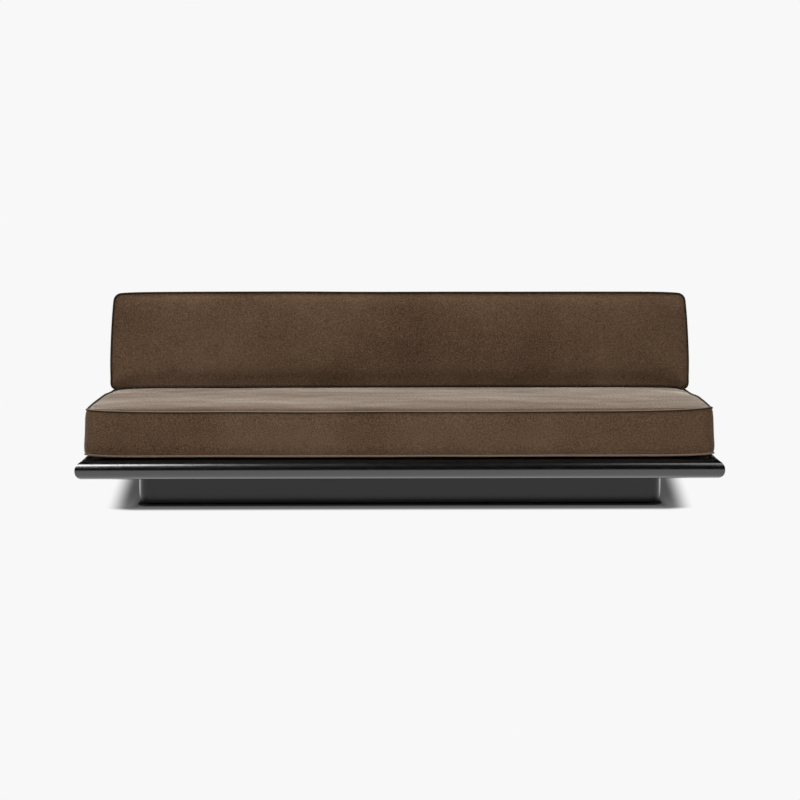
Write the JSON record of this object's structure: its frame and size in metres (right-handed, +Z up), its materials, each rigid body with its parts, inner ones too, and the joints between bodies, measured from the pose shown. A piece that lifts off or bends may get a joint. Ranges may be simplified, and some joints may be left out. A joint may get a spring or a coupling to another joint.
{
  "type": "three-seater sofa",
  "caption": "Armless sofa with a loose piped box seat cushion and a reclined back cushion on a low bullnosed platform with a recessed plinth.",
  "frame": {"origin": "on the floor under the middle of the platform", "axes": "+X along the sofa to the right as seen from the front, -Y to the front, +Z up"},
  "size_m": [2.38, 0.92, 0.769],
  "materials": {
    "black_lacquer": "black satin-gloss lacquer over wood",
    "plywood": "plain plywood",
    "softwood": "planed softwood",
    "black_steel": "black powder coat",
    "zinc_steel": "zinc plated",
    "foot_plastic": "moulded black nylon",
    "suede": "short-napped brown suede cloth",
    "foam": "cut polyurethane foam",
    "tape": "black woven tape"
  },
  "bodies": {
    "base": {"platform_front_rail": "black_lacquer", "platform_right_rail": "black_lacquer", "platform_rear_rail": "black_lacquer", "platform_left_rail": "black_lacquer", "deck_bearer_1": "softwood", "deck_bearer_2": "softwood", "deck_bearer_3": "softwood", "deck_bearer_4": "softwood", "deck_panel_1": "plywood", "deck_panel_2": "plywood", "deck_panel_3": "plywood", "plinth_front_panel": "black_lacquer", "plinth_rear_panel": "black_lacquer", "plinth_left_panel": "black_lacquer", "plinth_right_panel": "black_lacquer", "plinth_post_front_left": "black_lacquer", "plinth_post_front_right": "black_lacquer", "plinth_post_rear_left": "black_lacquer", "plinth_post_rear_right": "black_lacquer", "plinth_front_batten": "softwood", "plinth_rear_batten": "softwood", "plinth_centre_rib": "softwood", "frame_screw_front_left": "zinc_steel", "frame_screw_front_right": "zinc_steel", "frame_screw_rear_left": "zinc_steel", "frame_screw_rear_right": "zinc_steel", "back_upright_left": "black_steel", "back_upright_middle": "black_steel", "back_upright_right": "black_steel", "upright_bolt_left": "zinc_steel", "upright_bolt_middle": "zinc_steel", "upright_bolt_right": "zinc_steel", "back_board": "black_lacquer", "board_screw_lower_left": "zinc_steel", "board_screw_upper_left": "zinc_steel", "board_screw_lower_middle": "zinc_steel", "board_screw_upper_middle": "zinc_steel", "board_screw_lower_right": "zinc_steel", "board_screw_upper_right": "zinc_steel", "board_hook_strip": "tape", "deck_grip_mat": "tape"},
    "seat_cushion": {"seat_cover": "suede", "seat_foam": "foam", "seat_bottom_piping": "suede", "seat_top_piping": "suede", "seat_zip": "tape"},
    "seat_slider": {"seat_zip_slider": "zinc_steel"},
    "back_cushion": {"back_cover": "suede", "back_foam": "foam", "back_rear_piping": "suede", "back_front_piping": "suede", "back_zip": "tape", "cushion_loop_strip": "tape"},
    "back_slider": {"back_zip_slider": "zinc_steel"},
    "foot_front_left": {"levelling_foot_front_left": "foot_plastic"},
    "foot_front_middle": {"levelling_foot_front_middle": "foot_plastic"},
    "foot_front_right": {"levelling_foot_front_right": "foot_plastic"},
    "foot_rear_left": {"levelling_foot_rear_left": "foot_plastic"},
    "foot_rear_middle": {"levelling_foot_rear_middle": "foot_plastic"},
    "foot_rear_right": {"levelling_foot_rear_right": "foot_plastic"}
  },
  "joints": [
    {"name": "seat_cushion_pull", "type": "slide", "parent": "base", "child": "seat_cushion", "axis": [0, -1, 0], "range_m": [0, 0.85]},
    {"name": "back_cushion_lift", "type": "slide", "parent": "base", "child": "back_cushion", "axis": [0, 0, 1], "range_m": [0, 0.45]},
    {"name": "seat_zip_run", "type": "slide", "parent": "seat_cushion", "child": "seat_slider", "axis": [-1, 0, 0], "range_m": [0, 2]},
    {"name": "back_zip_run", "type": "slide", "parent": "back_cushion", "child": "back_slider", "axis": [-1, 0, 0], "range_m": [0, 2]},
    {"name": "foot_front_left_screw", "type": "slide", "parent": "base", "child": "foot_front_left", "axis": [0, 0, -1], "range_m": [0, 0.012]},
    {"name": "foot_front_middle_screw", "type": "slide", "parent": "base", "child": "foot_front_middle", "axis": [0, 0, -1], "range_m": [0, 0.012]},
    {"name": "foot_front_right_screw", "type": "slide", "parent": "base", "child": "foot_front_right", "axis": [0, 0, -1], "range_m": [0, 0.012]},
    {"name": "foot_rear_left_screw", "type": "slide", "parent": "base", "child": "foot_rear_left", "axis": [0, 0, -1], "range_m": [0, 0.012]},
    {"name": "foot_rear_middle_screw", "type": "slide", "parent": "base", "child": "foot_rear_middle", "axis": [0, 0, -1], "range_m": [0, 0.012]},
    {"name": "foot_rear_right_screw", "type": "slide", "parent": "base", "child": "foot_rear_right", "axis": [0, 0, -1], "range_m": [0, 0.012]}
  ]
}
